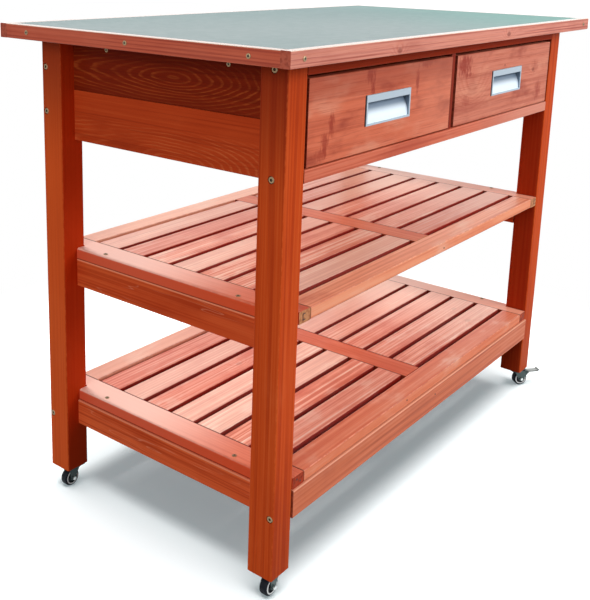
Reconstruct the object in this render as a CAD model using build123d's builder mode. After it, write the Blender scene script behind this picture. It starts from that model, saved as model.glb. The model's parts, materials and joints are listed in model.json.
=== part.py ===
import os
from math import cos, radians, sin

from build123d import *

# Serving cart: a stained wooden frame on casters, with a sheet-metal worktop, two drawers and two slatted shelves.
# Millimetres. X runs along the length, the drawers face -Y, Z is up and the floor is Z = 0.

# Worktop
overall_height = 871.0
top_length = 1132.0
top_depth = 604.0
strip_height = 24.0
strip_thickness = 17.0
sheet_thickness = 1.0
sheet_fold = 12.0

# Legs
leg_width = 48.0
leg_depth = 48.0
leg_round = 3.0
overhang_end = 53.0
overhang_front = 41.0

# Boards and rails of the frame
apron_height = 177.0
panel_thickness = 18.0
board_joint = 0.3
rail_thickness = 20.0
rail_width = 48.0
upper_rail_width = 51.0
edge_round = 1.5
cleat_size = 20.0

# Drawers
divider_thickness = 16.0
divider_setback = 4.0
front_thickness = 18.0
front_setback = 1.0
gap_above_front = 5.0
gap_below_front = 2.0
gap_beside_leg = 5.5
gap_beside_divider = 2.5
box_inset = 6.0
box_side = 12.0
box_height = 100.0
box_rear_gap = 15.0
bottom_thickness = 6.0
bottom_lift = 8.0
bottom_groove = 5.0
runner_width = 48.0
centre_runner_width = 80.0
guide_height = 12.0
guide_clearance = 1.0
slide_clearance = 0.3

# Flush pulls
pull_width = 140.0
pull_height = 49.0
pull_plate = 2.5
pull_proud = 0.8
pull_lip = 11.5
pull_frame = 3.5
bowl_depth = 20.0
bowl_wall = 1.2
bowl_back_wall = 1.9
bowl_foot = 2.8
bowl_bulge = 4.5
pull_slack = 4.0
pull_shift = 5.0
pull_headroom = 0.5

# Shelves
upper_shelf_top = 472.0
lower_shelf_top = 197.0
shelf_board = 20.0
end_board_width = 49.0
end_board_setback = 0.5
end_board_round = 5.0
edge_board_width = 43.0
crosspiece_width = 54.0
slat_width = 51.0
slat_count = 7
notch_gap = 1.5
shelf_round = 2.5
bearer_width = 48.0
mid_bearer_width = 96.0
bearer_setback = 72.0
rail_proud = 3.0

# Screws through the legs
screw_head_radius = 5.2
screw_head_height = 2.6
screw_head_chamfer = 0.8
screw_socket = 4.6
screw_socket_depth = 1.8
screw_sink = 0.5
screw_seat_gap = 0.7
screw_radius = 2.5
screw_clearance = 0.1
screw_bite = 35.0
lower_screw_drop = 6.0
back_screw_inset = 50.0

# Casters
wheel_diameter = 33.0
wheel_width = 14.0
tyre_depth = 3.2
tyre_round = 2.8
hub_recess = 2.5
hub_ring = 2.0
hub_boss_radius = 4.6
axle_radius = 2.0
axle_clearance = 0.05
axle_head_radius = 3.6
axle_head_height = 1.8
axle_boss = 5.5
wheel_side_gap = 1.0
wheel_headroom = 1.5
fork_sheet = 1.6
fork_disc_radius = 13.0
swivel_gap = 0.3
race_height = 2.2
race_radius = 12.0
plate_thickness = 2.0
plate_size = 33.0
plate_round = 4.0
kingpin_radius = 3.5
kingpin_clearance = 0.05
kingpin_head_radius = 5.0
kingpin_head_height = 1.2
trail = 10.0

# Brake levers of the two casters at the right-hand end
pivot_reach = 25.0
pivot_boss = 3.6
pivot_pin_radius = 1.5
lever_sheet = 2.0
lever_width = 14.0
lever_reach = 56.0
lever_tip_rise = 4.0
lever_side_gap = 0.5

# Directions in which the casters trail, in degrees from +X
headings = {"front_left": 180.0, "front_right": -39.0, "back_left": 180.0, "back_right": 25.0}

# Shift of each caster plate from the middle of its leg, in X and Y
plate_shift = {"front_left": (6.0, -5.0), "front_right": (-2.0, -7.0), "back_left": (4.0, -6.5), "back_right": (-4.0, -6.0)}
braked = ["front_right", "back_right"]

# Levels and faces that several pieces share
leg_top = overall_height - strip_height
bridge_bottom = wheel_diameter + wheel_headroom
race_bottom = bridge_bottom + fork_sheet + swivel_gap
leg_bottom = race_bottom + race_height + plate_thickness
apron_bottom = leg_top - apron_height
leg_outer_x = top_length / 2 - overhang_end
leg_outer_y = top_depth / 2 - overhang_front
leg_inner_x = leg_outer_x - leg_width
leg_inner_y = leg_outer_y - leg_depth
leg_centre_x = leg_outer_x - leg_width / 2
leg_centre_y = leg_outer_y - leg_depth / 2
end_face_x = leg_inner_x + panel_thickness
back_inner_y = leg_outer_y - panel_thickness
corners = {
    "front_left": (-1, -1),
    "front_right": (1, -1),
    "back_left": (-1, 1),
    "back_right": (1, 1),
}

os.makedirs("parts", exist_ok=True)


def keep(piece, name):
    piece.part.label = name
    export_step(piece.part, f"parts/{name}.step")


# A board between two opposite corners, with the edges along its length eased.
def board(low, high, grain, ease=edge_round):
    size = [b - a for a, b in zip(low, high)]
    middle = [(a + b) / 2 for a, b in zip(low, high)]
    with BuildPart() as stick:
        with BuildSketch(Plane.XY.offset(low[2])):
            with Locations((middle[0], middle[1])):
                Rectangle(size[0], size[1])
        extrude(amount=size[2])
        if ease:
            fillet(stick.edges().filter_by(grain), ease)
    return stick


# Several boards alike, kept as separate solids of one piece.
def boards(corner_pairs, grain, ease=edge_round):
    with BuildPart() as group:
        for low, high in corner_pairs:
            add(board(low, high, grain, ease).part)
    return group


# The same board at both ends (mirrored in X) or at front and back (mirrored in Y).
def mirrored(low, high, axis):
    other_low, other_high = list(low), list(high)
    other_low[axis], other_high[axis] = -high[axis], -low[axis]
    return [(low, high), (tuple(other_low), tuple(other_high))]


# Screws: each leg is screwed from its end face into the boards and rails that run lengthwise.
lower_rail_top = lower_shelf_top - shelf_board
lower_rail_bottom = lower_rail_top - rail_width
lower_rail_y = leg_outer_y + rail_proud - rail_thickness / 2
top_rail_z = leg_top - rail_thickness / 2
bottom_rail_z = apron_bottom + rail_thickness / 2
back_board_z = [apron_bottom + back_screw_inset, leg_top - back_screw_inset]
low_screw_z = lower_rail_bottom + rail_width / 2 - lower_screw_drop
back_board_y = leg_outer_y - panel_thickness / 2
flat_rail_y = leg_outer_y - rail_width / 2
screw_seat_depth = screw_head_height + screw_sink
front_screws = [(-flat_rail_y, top_rail_z), (-flat_rail_y, bottom_rail_z), (-lower_rail_y, low_screw_z)]
back_screws = [(back_board_y, z) for z in back_board_z] + [(lower_rail_y, low_screw_z)]


# Planes standing on an end face at x, looking outwards, at the given places.
def end_planes(side, x, places):
    return [Plane(origin=(side * x, y, z), x_dir=(0, 1, 0), z_dir=(side, 0, 0)) for y, z in places]


# Holes for the screws in both ends of a lengthwise board.
def bore_ends(places):
    for side in (-1, 1):
        with Locations(*end_planes(side, leg_inner_x, places)):
            Hole(screw_radius + screw_clearance, depth=screw_bite)


# Worktop: a board dressed with folded sheet metal and framed by four strips
inner_x = top_length / 2 - strip_thickness
inner_y = top_depth / 2 - strip_thickness

with BuildPart() as top_sheet:
    with BuildSketch(Plane.XY.offset(overall_height - sheet_fold)):
        Rectangle(2 * inner_x, 2 * inner_y)
    extrude(amount=sheet_fold)
    fillet(top_sheet.faces().sort_by(Axis.Z)[-1].edges(), sheet_thickness)
    with BuildSketch(Plane.XY.offset(overall_height - sheet_fold)):
        Rectangle(2 * (inner_x - sheet_thickness), 2 * (inner_y - sheet_thickness))
    extrude(amount=sheet_fold - sheet_thickness, mode=Mode.SUBTRACT)
keep(top_sheet, "top_sheet")

panel_x = inner_x - sheet_thickness
panel_y = inner_y - sheet_thickness
top_panel = board((-panel_x, -panel_y, leg_top), (panel_x, panel_y, overall_height - sheet_thickness), Axis.X, 0)
keep(top_panel, "top_panel")

for name, side in {"top_strip_front": -1, "top_strip_back": 1}.items():
    near, far = sorted((side * inner_y, side * top_depth / 2))
    strip = board((-top_length / 2, near, leg_top), (top_length / 2, far, overall_height), Axis.X)
    keep(strip, name)

for name, side in {"top_strip_left": -1, "top_strip_right": 1}.items():
    near, far = sorted((side * inner_x, side * top_length / 2))
    strip = board((near, -inner_y, leg_top), (far, inner_y, overall_height), Axis.Y)
    keep(strip, name)

# Legs, with their long edges rounded and the screw holes bored through and sunk for the heads
for name, (side_x, side_y) in corners.items():
    with BuildPart() as leg:
        with BuildSketch(Plane.XY.offset(leg_bottom)):
            with Locations((side_x * leg_centre_x, side_y * leg_centre_y)):
                RectangleRounded(leg_width, leg_depth, leg_round)
        extrude(amount=leg_top - leg_bottom)
        places = front_screws if side_y < 0 else back_screws
        with Locations(*end_planes(side_x, leg_outer_x, places)):
            CounterBoreHole(
                screw_radius + screw_clearance,
                screw_head_radius + screw_seat_gap,
                screw_seat_depth,
                depth=leg_width,
            )
    keep(leg, f"leg_{name}")

# End panels and back panel, two boards each
apron_middle = apron_bottom + apron_height / 2
board_levels = [(apron_bottom, apron_middle - board_joint / 2), (apron_middle + board_joint / 2, leg_top)]
for name, side in {"end_panel_left": -1, "end_panel_right": 1}.items():
    near, far = sorted((side * leg_inner_x, side * end_face_x))
    pairs = [((near, -leg_inner_y, low), (far, leg_inner_y, high)) for low, high in board_levels]
    keep(boards(pairs, Axis.Y), name)

with BuildPart() as back_panel:
    for low, high in board_levels:
        add(board((-leg_inner_x, back_inner_y, low), (leg_inner_x, leg_outer_y, high), Axis.X).part)
    bore_ends([(back_board_y, z) for z in back_board_z])
keep(back_panel, "back_panel")

# Cleats that hold the worktop, inside the end panels
cleat_low = (leg_inner_x - cleat_size, -leg_inner_y, leg_top - cleat_size)
cleat_high = (leg_inner_x, leg_inner_y, leg_top)
keep(boards(mirrored(cleat_low, cleat_high, 0), Axis.Y), "top_cleats")

# Flat rails over and under the drawers, and the divider between them
rail_back_y = -leg_outer_y + rail_width
for name, level in {"drawer_top_rail": leg_top - rail_thickness, "drawer_bottom_rail": apron_bottom}.items():
    low = (-leg_inner_x, -leg_outer_y, level)
    high = (leg_inner_x, rail_back_y, level + rail_thickness)
    with BuildPart() as rail:
        add(board(low, high, Axis.X).part)
        bore_ends([(-flat_rail_y, level + rail_thickness / 2)])
    keep(rail, name)

runner_top = apron_bottom + rail_thickness
divider = board(
    (-divider_thickness / 2, -leg_outer_y + divider_setback, runner_top),
    (divider_thickness / 2, rail_back_y, leg_top - rail_thickness),
    Axis.Z,
)
keep(divider, "drawer_divider")

# Runners that carry the drawers, each with a guide strip on top
front_inner_x = divider_thickness / 2 + gap_beside_divider
front_outer_x = leg_inner_x - gap_beside_leg
box_inner_x = front_inner_x + box_inset
box_outer_x = front_outer_x - box_inset
runner_spans = [
    (-leg_inner_x, -leg_inner_x + runner_width),
    (-centre_runner_width / 2, centre_runner_width / 2),
    (leg_inner_x - runner_width, leg_inner_x),
]
guide_spans = [
    (-leg_inner_x, -box_outer_x - guide_clearance),
    (-box_inner_x + guide_clearance, box_inner_x - guide_clearance),
    (box_outer_x + guide_clearance, leg_inner_x),
]
runner_pairs = []
for low_x, high_x in runner_spans:
    runner_pairs.append(((low_x, rail_back_y, apron_bottom), (high_x, back_inner_y, runner_top)))
for low_x, high_x in guide_spans:
    runner_pairs.append(((low_x, rail_back_y, runner_top), (high_x, back_inner_y, runner_top + guide_height)))
keep(boards(runner_pairs, Axis.Y, 0), "drawer_runners")

# Drawers: front, sides, back, bottom and flush pull
front_bottom = runner_top + gap_below_front
front_top = leg_top - rail_thickness - gap_above_front
front_face_y = -leg_outer_y + front_setback
front_back_y = front_face_y + front_thickness
box_bottom = runner_top + slide_clearance
box_back_y = back_inner_y - box_rear_gap
pull_bottom = (front_bottom + front_top - pull_height) / 2
pull_top = pull_bottom + pull_height
front_centre_x = (front_inner_x + front_outer_x) / 2
bottom_level = box_bottom + bottom_lift
opening_top = pull_top - pull_lip
opening_bottom = pull_bottom + pull_frame
plate_back_y = front_face_y - pull_proud + pull_plate
bowl_half = pull_width / 2 - pull_frame + bowl_wall
bowl_top = pull_top - pull_frame + bowl_wall


# Corners of a bowl seen from the side, less its walls: front low, front top, deep top, and the point halfway
# along its back, which swells towards the front.
def bowl_points(back_wall, top_wall, foot):
    front = plate_back_y
    deep = plate_back_y + bowl_depth - back_wall
    top = bowl_top - top_wall
    low = opening_bottom - foot
    swell = Vector(low - top, deep - front).normalized() * bowl_bulge
    middle = ((front + deep) / 2 + swell.X, (low + top) / 2 + swell.Y)
    return (front, low), (front, top), (deep, top), middle


for name, side in {"left_drawer": -1, "right_drawer": 1}.items():
    centre = side * front_centre_x
    pull_x = centre + pull_shift
    low_x, high_x = sorted((side * front_inner_x, side * front_outer_x))
    with BuildPart() as front:
        add(board((low_x, front_face_y, front_bottom), (high_x, front_back_y, front_top), Axis.X).part)
        with BuildSketch(Plane.XZ.offset(-front_face_y)):
            with Locations((pull_x - pull_slack / 2, pull_bottom)):
                Rectangle(
                    pull_width + pull_slack,
                    pull_height + pull_headroom,
                    align=(Align.CENTER, Align.MIN),
                )
        extrude(amount=-front_thickness, mode=Mode.SUBTRACT)
    keep(front, f"{name}_front")

    side_pairs = []
    for edge_x, inward in ((box_inner_x, 1), (box_outer_x, -1)):
        near, far = sorted((side * edge_x, side * (edge_x + inward * box_side)))
        side_pairs.append(((near, front_back_y, box_bottom), (far, box_back_y, box_bottom + box_height)))
    bottom_low_x, bottom_high_x = sorted((side * box_inner_x, side * box_outer_x))
    groove = box_side - bottom_groove
    bottom_x = (bottom_low_x + groove, bottom_high_x - groove)
    with BuildPart() as sides:
        for low, high in side_pairs:
            add(board(low, high, Axis.Y, 0).part)
        with BuildSketch(Plane.XY.offset(bottom_level)):
            with Locations((centre, (front_back_y + box_back_y) / 2)):
                Rectangle(bottom_x[1] - bottom_x[0], box_back_y - front_back_y)
        extrude(amount=bottom_thickness, mode=Mode.SUBTRACT)
    keep(sides, f"{name}_sides")

    inside_x = (bottom_low_x + box_side, bottom_high_x - box_side)
    rear_low = (inside_x[0], box_back_y - box_side, bottom_level + bottom_thickness)
    rear_high = (inside_x[1], box_back_y, box_bottom + box_height)
    keep(board(rear_low, rear_high, Axis.X, 0), f"{name}_back")

    base_low = (bottom_x[0], front_back_y, bottom_level)
    base_high = (bottom_x[1], box_back_y, bottom_level + bottom_thickness)
    keep(board(base_low, base_high, Axis.X, 0), f"{name}_bottom")

    with BuildPart() as pull:
        with BuildSketch(Plane.XZ.offset(-front_face_y + pull_proud)):
            with Locations((pull_x, pull_bottom)):
                Rectangle(pull_width, pull_height, align=(Align.CENTER, Align.MIN))
        extrude(amount=-pull_plate)
        outside = (bowl_points(0.0, 0.0, bowl_foot), bowl_half, Mode.ADD)
        inside = (bowl_points(bowl_back_wall, bowl_wall, 0.0), bowl_half - bowl_wall, Mode.SUBTRACT)
        for (low, top, deep, middle), half, mode in (outside, inside):
            with BuildSketch(Plane.YZ.offset(pull_x)):
                with BuildLine():
                    Polyline(low, top, deep)
                    ThreePointArc(deep, middle, low)
                make_face()
            extrude(amount=half, both=True, mode=mode)
        with BuildSketch(Plane.XZ.offset(-front_face_y + pull_proud)):
            with Locations((pull_x, opening_bottom)):
                Rectangle(
                    pull_width - 2 * pull_frame,
                    opening_top - opening_bottom,
                    align=(Align.CENTER, Align.MIN),
                )
        extrude(amount=-pull_plate, mode=Mode.SUBTRACT)
    keep(pull, f"{name}_pull")

# Shelves: end boards notched round the legs, edge boards, a crosspiece, slats and the bearers under them
seam_x = end_face_x - end_board_width
inner_half = leg_outer_y - edge_board_width
slat_gap = (2 * inner_half - slat_count * slat_width) / (slat_count + 1)
slat_pitch = slat_width + slat_gap
slat_length = seam_x - crosspiece_width / 2
slat_centre_x = (seam_x + crosspiece_width / 2) / 2
end_board_x = (seam_x + end_face_x) / 2

for shelf, top in {"upper": upper_shelf_top, "lower": lower_shelf_top}.items():
    under = top - shelf_board
    with BuildPart() as end_boards:
        with BuildSketch(Plane.XY.offset(under)):
            with Locations((-end_board_x, 0), (end_board_x, 0)):
                Rectangle(end_board_width, 2 * (leg_outer_y - end_board_setback))
            for side_x, side_y in corners.values():
                with Locations((side_x * (leg_inner_x - notch_gap), side_y * leg_inner_y)):
                    Rectangle(
                        leg_width + notch_gap,
                        leg_depth,
                        align=(Align.MIN if side_x > 0 else Align.MAX, Align.MIN if side_y > 0 else Align.MAX),
                        mode=Mode.SUBTRACT,
                    )
        extrude(amount=shelf_board)
        long_edges = end_boards.edges().filter_by(Axis.Y)
        outer_tops = [e for e in long_edges if abs(e.center().X) > end_face_x - 0.01 and e.center().Z > top - 0.01]
        fillet(outer_tops, end_board_round)
        long_edges = end_boards.edges().filter_by(Axis.Y)
        fillet([e for e in long_edges if abs(e.center().X) < leg_inner_x], edge_round)
    keep(end_boards, f"{shelf}_end_boards")

    edge_low = (-seam_x, -leg_outer_y, under)
    edge_high = (seam_x, -inner_half, top)
    keep(boards(mirrored(edge_low, edge_high, 1), Axis.X, shelf_round), f"{shelf}_edge_boards")

    half = crosspiece_width / 2
    keep(board((-half, -inner_half, under), (half, inner_half, top), Axis.Y), f"{shelf}_crosspiece")

    with BuildPart() as slats:
        with BuildSketch(Plane.XY.offset(under)):
            with Locations((-slat_centre_x, 0), (slat_centre_x, 0)):
                with GridLocations(slat_length, slat_pitch, 1, slat_count):
                    Rectangle(slat_length, slat_width)
        extrude(amount=shelf_board)
        fillet(slats.edges().filter_by(Axis.X), edge_round)
    keep(slats, f"{shelf}_slats")

    proud = rail_proud if shelf == "lower" else 0.0
    rail_face_x = end_face_x + proud
    rail_inner_x = rail_face_x - rail_thickness
    bearer_outer_x = min(leg_inner_x, rail_inner_x)
    bearer_end_y = leg_outer_y + proud - rail_thickness if proud else leg_outer_y - bearer_setback
    end_low = (bearer_outer_x - bearer_width, -bearer_end_y, under - rail_thickness)
    end_high = (bearer_outer_x, bearer_end_y, under)
    mid_low = (-mid_bearer_width / 2, -bearer_end_y, under - rail_thickness)
    mid_high = (mid_bearer_width / 2, bearer_end_y, under)
    keep(boards(mirrored(end_low, end_high, 0) + [(mid_low, mid_high)], Axis.Y, 0), f"{shelf}_bearers")

    rail_bottom = under - (rail_width if shelf == "lower" else upper_rail_width)
    rail_low = (rail_inner_x, -leg_inner_y, rail_bottom)
    rail_high = (rail_face_x, leg_inner_y, under)
    keep(boards(mirrored(rail_low, rail_high, 0), Axis.Y), f"{shelf}_end_rails")

# Lengthwise rails under the lower shelf
for name, side in {"lower_front_rail": -1, "lower_back_rail": 1}.items():
    face_y = leg_outer_y + rail_proud
    near, far = sorted((side * face_y, side * (face_y - rail_thickness)))
    with BuildPart() as rail:
        add(board((-leg_inner_x, near, lower_rail_bottom), (leg_inner_x, far, lower_rail_top), Axis.X).part)
        bore_ends([(side * lower_rail_y, low_screw_z)])
    keep(rail, name)

# Socket-head screws through the legs
with BuildPart() as leg_screws:
    for side in (-1, 1):
        for plane in end_planes(side, leg_outer_x - screw_seat_depth, front_screws + back_screws):
            with BuildSketch(plane):
                Circle(screw_head_radius)
            extrude(amount=screw_head_height)
            with BuildSketch(plane):
                Circle(screw_radius)
            extrude(amount=-(leg_width - screw_seat_depth + screw_bite))
    for side in (-1, 1):
        for plane in end_planes(side, leg_outer_x - screw_sink, front_screws + back_screws):
            with BuildSketch(plane):
                RegularPolygon(screw_socket / 2, 6, major_radius=False)
            extrude(amount=-screw_socket_depth, mode=Mode.SUBTRACT)
    rims = leg_screws.edges().filter_by(GeomType.CIRCLE).filter_by(lambda e: e.radius > screw_head_radius - 0.01)
    outer = [e for e in rims if abs(e.center().X) > leg_outer_x - screw_sink - screw_head_height / 2]
    chamfer(outer, screw_head_chamfer)
keep(leg_screws, "leg_screws")


# Where a caster's swivel axis meets the floor.
def caster_foot(corner):
    side_x, side_y = corners[corner]
    shift_x, shift_y = plate_shift[corner]
    return side_x * leg_centre_x + shift_x, side_y * leg_centre_y + shift_y


# A caster's upright plane through its swivel axis: local x trails, local y is up and local z is the axle.
def caster_plane(corner):
    angle = radians(headings[corner])
    foot = (*caster_foot(corner), 0)
    return Plane(origin=foot, x_dir=(cos(angle), sin(angle), 0), z_dir=(sin(angle), -cos(angle), 0))


# The same caster's level plane at a height, with its local x trailing.
def level_plane(corner, height):
    angle = radians(headings[corner])
    foot = (*caster_foot(corner), height)
    return Plane(origin=foot, x_dir=(cos(angle), sin(angle), 0), z_dir=(0, 0, 1))


# Caster plates under the legs, each with its bearing race and riveted kingpin
with BuildPart() as caster_plates:
    for name in corners:
        foot = caster_foot(name)
        with BuildSketch(Plane.XY.offset(leg_bottom - plate_thickness)):
            with Locations(foot):
                RectangleRounded(plate_size, plate_size, plate_round)
        extrude(amount=plate_thickness)
        with BuildSketch(Plane.XY.offset(race_bottom)):
            with Locations(foot):
                Circle(race_radius)
        extrude(amount=race_height)
        with BuildSketch(Plane.XY.offset(bridge_bottom - swivel_gap)):
            with Locations(foot):
                Circle(kingpin_radius)
        extrude(amount=race_bottom - bridge_bottom + swivel_gap)
        with BuildSketch(Plane.XY.offset(bridge_bottom - swivel_gap - kingpin_head_height)):
            with Locations(foot):
                Circle(kingpin_head_radius)
        extrude(amount=kingpin_head_height)
keep(caster_plates, "caster_plates")

wheel_radius = wheel_diameter / 2
hub_radius = wheel_radius - tyre_depth
fork_inside = wheel_width / 2 + wheel_side_gap
fork_outside = fork_inside + fork_sheet
bridge_top = bridge_bottom + fork_sheet
pivot_height = bridge_top - pivot_boss
axle_end = fork_outside + axle_head_height

for name in corners:
    upright = caster_plane(name)
    has_brake = name in braked

    # Fork: two slanting cheeks folded down from a round bridge
    with BuildPart() as fork:
        for start, thickness in ((fork_inside, fork_sheet), (-fork_inside, -fork_sheet)):
            with BuildSketch(upright.offset(start)):
                with Locations((trail, wheel_radius)):
                    Circle(axle_boss)
                with Locations((trail / 2, bridge_top)):
                    Rectangle(fork_disc_radius + trail, fork_sheet, align=(Align.CENTER, Align.MAX))
                if has_brake:
                    with Locations((pivot_reach, pivot_height)):
                        Circle(pivot_boss)
                make_hull()
            extrude(amount=thickness)
        with BuildSketch(level_plane(name, bridge_bottom)):
            Circle(fork_disc_radius)
            with Locations((trail / 2, 0)):
                Rectangle(fork_disc_radius + trail, 2 * fork_outside)
        extrude(amount=fork_sheet)
        with Locations(level_plane(name, bridge_top)):
            Hole(kingpin_radius + kingpin_clearance)

        # Axle and lever pin, riveted through the cheeks
        pins = [((trail, wheel_radius), axle_radius)]
        if has_brake:
            pins.append(((pivot_reach, pivot_height), pivot_pin_radius))
        for place, radius in pins:
            with BuildSketch(upright.offset(-axle_end)):
                with Locations(place):
                    Circle(radius)
            extrude(amount=2 * axle_end)
            for start, height in ((fork_outside, axle_head_height), (-fork_outside, -axle_head_height)):
                with BuildSketch(upright.offset(start)):
                    with Locations(place):
                        Circle(axle_head_radius * radius / axle_radius)
                extrude(amount=height)
    keep(fork, f"fork_{name}")

    with BuildPart() as tyre:
        with BuildSketch(upright):
            with Locations((trail, wheel_radius)):
                Circle(wheel_radius)
        extrude(amount=wheel_width / 2, both=True)
        fillet(tyre.edges().filter_by(GeomType.CIRCLE), tyre_round)
        with BuildSketch(upright):
            with Locations((trail, wheel_radius)):
                Circle(hub_radius)
        extrude(amount=wheel_width / 2, both=True, mode=Mode.SUBTRACT)
    keep(tyre, f"tyre_{name}")

    with BuildPart() as hub:
        with BuildSketch(upright):
            with Locations((trail, wheel_radius)):
                Circle(hub_radius)
        extrude(amount=wheel_width / 2, both=True)
        for start, depth in ((wheel_width / 2, -hub_recess), (-wheel_width / 2, hub_recess)):
            with BuildSketch(upright.offset(start)):
                with Locations((trail, wheel_radius)):
                    Circle(hub_radius - hub_ring)
                    Circle(hub_boss_radius, mode=Mode.SUBTRACT)
            extrude(amount=depth, mode=Mode.SUBTRACT)
        with BuildSketch(upright):
            with Locations((trail, wheel_radius)):
                Circle(axle_radius + axle_clearance)
        extrude(amount=wheel_width / 2, both=True, mode=Mode.SUBTRACT)
    keep(hub, f"hub_{name}")

    if has_brake:
        lever_half = fork_inside - lever_side_gap
        with BuildPart() as lever:
            with BuildSketch(upright):
                with BuildLine() as sweepline:
                    flat = Line((pivot_reach, pivot_height), (lever_reach - lever_tip_rise, pivot_height))
                    TangentArc(flat @ 1, (lever_reach, pivot_height + lever_tip_rise), tangent=flat % 1)
                trace(line_width=lever_sheet)
            extrude(amount=lever_width / 2, both=True)
            with BuildSketch(upright):
                with Locations((pivot_reach, pivot_height)):
                    Circle(pivot_boss)
            extrude(amount=lever_half, both=True)
            with BuildSketch(upright):
                with Locations((pivot_reach, pivot_height)):
                    Circle(pivot_pin_radius + axle_clearance)
            extrude(amount=lever_half, both=True, mode=Mode.SUBTRACT)
        keep(lever, f"brake_lever_{name}")
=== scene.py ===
import json
import math

import bmesh
import bpy
from mathutils import Matrix, Vector


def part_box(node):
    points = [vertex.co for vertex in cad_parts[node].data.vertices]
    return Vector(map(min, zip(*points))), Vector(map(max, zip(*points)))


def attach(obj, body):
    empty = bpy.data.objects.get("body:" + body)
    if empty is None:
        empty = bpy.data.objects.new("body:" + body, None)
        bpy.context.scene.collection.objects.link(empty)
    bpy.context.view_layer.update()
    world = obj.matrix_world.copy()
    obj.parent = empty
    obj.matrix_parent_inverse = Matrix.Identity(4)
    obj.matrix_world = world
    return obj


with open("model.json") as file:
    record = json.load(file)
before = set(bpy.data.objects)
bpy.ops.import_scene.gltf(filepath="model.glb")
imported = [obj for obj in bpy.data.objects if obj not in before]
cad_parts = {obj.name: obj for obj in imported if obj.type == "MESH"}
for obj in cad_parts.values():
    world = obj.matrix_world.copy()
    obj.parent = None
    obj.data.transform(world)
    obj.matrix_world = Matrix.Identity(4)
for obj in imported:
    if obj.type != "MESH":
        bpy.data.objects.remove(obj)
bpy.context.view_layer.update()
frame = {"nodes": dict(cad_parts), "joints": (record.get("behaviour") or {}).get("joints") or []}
cadNodes = frame["nodes"]
scene = bpy.context.scene
scene.view_settings.view_transform = "Standard"
print("frame loaded with", len(cadNodes), "nodes")


# a colour as picked on screen, turned to linear light
def tint(red, green, blue):
    parts = [c / 255 for c in (red, green, blue)]
    linear = [c / 12.92 if c <= 0.04045 else ((c + 0.055) / 1.055) ** 2.4 for c in parts]
    return (*linear, 1.0)


# wraps a shader socket, so that maths on values reads as plain expressions
class Wire:
    def __init__(self, tree, socket=None):
        self.tree = tree
        self.socket = socket

    def add(self, kind, settings=None, sockets=None, out=0):
        node = self.tree.nodes.new("ShaderNode" + kind)
        for key, value in (settings or {}).items():
            setattr(node, key, value)
        for key, value in (sockets or {}).items():
            if isinstance(value, Wire):
                self.tree.links.new(value.socket, node.inputs[key])
            else:
                node.inputs[key].default_value = value
        return Wire(self.tree, node.outputs[out] if node.outputs else None)

    def sibling(self, out):
        return Wire(self.tree, self.socket.node.outputs[out])

    def maths(self, operation, first, second=0.0):
        return self.add("Math", {"operation": operation}, {0: first, 1: second})

    def __add__(self, other):
        return self.maths("ADD", self, other)

    def __radd__(self, other):
        return self.maths("ADD", other, self)

    def __sub__(self, other):
        return self.maths("SUBTRACT", self, other)

    def __rsub__(self, other):
        return self.maths("SUBTRACT", other, self)

    def __mul__(self, other):
        return self.maths("MULTIPLY", self, other)

    def __rmul__(self, other):
        return self.maths("MULTIPLY", other, self)

    def __truediv__(self, other):
        return self.maths("DIVIDE", self, other)

    def __abs__(self):
        return self.maths("ABSOLUTE", self)


def smooth(wire, low, high):
    ends = {"Value": wire, "From Min": low, "From Max": high}
    return wire.add("MapRange", {"interpolation_type": "SMOOTHSTEP"}, ends)


def mixColour(first, second, factor):
    return factor.add("Mix", {"data_type": "RGBA"}, {0: factor, 6: first, 7: second}, out=2)


# lays tones over a colour, one after another, each by its own mask
def layered(colour, layers):
    for tone, mask in layers:
        colour = mixColour(colour, tone, mask)
    return colour


def split(vector):
    first = vector.add("SeparateXYZ", None, {0: vector})
    return first, first.sibling(1), first.sibling(2)


def point(x, y, z):
    return x.add("CombineXYZ", None, {0: x, 1: y, 2: z})


def distance(first, second):
    return first.maths("SQRT", first * first + second * second)


def noise(place, scale=1.0, detail=2.0, roughness=0.5):
    sockets = {"Vector": place, "Scale": scale, "Detail": detail, "Roughness": roughness}
    return place.add("TexNoise", None, sockets)


def newTree(name):
    material = bpy.data.materials.new(name)
    material.use_nodes = True
    material.node_tree.nodes.clear()
    return material, Wire(material.node_tree)


def finishTree(start, sockets):
    surface = start.add("BsdfPrincipled", None, sockets)
    start.add("OutputMaterial", None, {"Surface": surface})


# stained softwood: growth rings round a heart line, fibres, stain patches and knots
# its noises: scale along the grain, scale across it, detail and roughness
timberNoise = {
    "slow": (2.3, 8.0, 2.0, 0.5), "quick": (9.0, 45.0, 3.0, 0.5), "fibre": (13.0, 640.0, 3.0, 0.6),
    "streak": (1.7, 1.0, 3.0, 0.5), "patch": (4.2, 10.0, 4.0, 0.6), "feather": (150.0, 55.0, 4.0, 0.65),
    "scratch": (4.0, 40.0, 2.0, 0.5),
}
# its masks: the value where each one starts and the value where it is full
timberSpans = {
    "lateEnd": (0.86, 1.0), "dashes": (0.38, 0.62), "streakDark": (0.46, 0.66), "streakPale": (0.46, 0.3),
    "patchDark": (0.5, 0.74), "patchPale": (0.48, 0.26), "pores": (0.5, 0.76), "margin": (0.25, 0.42),
    "marginPatch": (0.36, 0.62), "paleBoard": (0.4, 1.0), "darkBoard": (0.5, 1.0), "mark": (1.05, 0.3),
    "scratch": (0.008, 0.002), "scuffed": (0.46, 0.56), "face": (0.7, 0.95), "seam": (0.0022, 0.0006),
    "endGrain": (0.75, 0.95), "endDark": (0.4, 0.66), "edge": (0.97, 0.78), "worn": (0.4, 0.64),
    "topEdgeHighlight": (0.1, 0.35), "varnish": (0.2, 0.8),
}
timberStrength = {"knot": 0.8, "seam": 0.75, "endGrain": 0.9, "topEdgeHighlight": 0.85}
timberLot = {"spread": 17.31, "shift": 7.0}            # keeps the boards of one group apart in the noise


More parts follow.
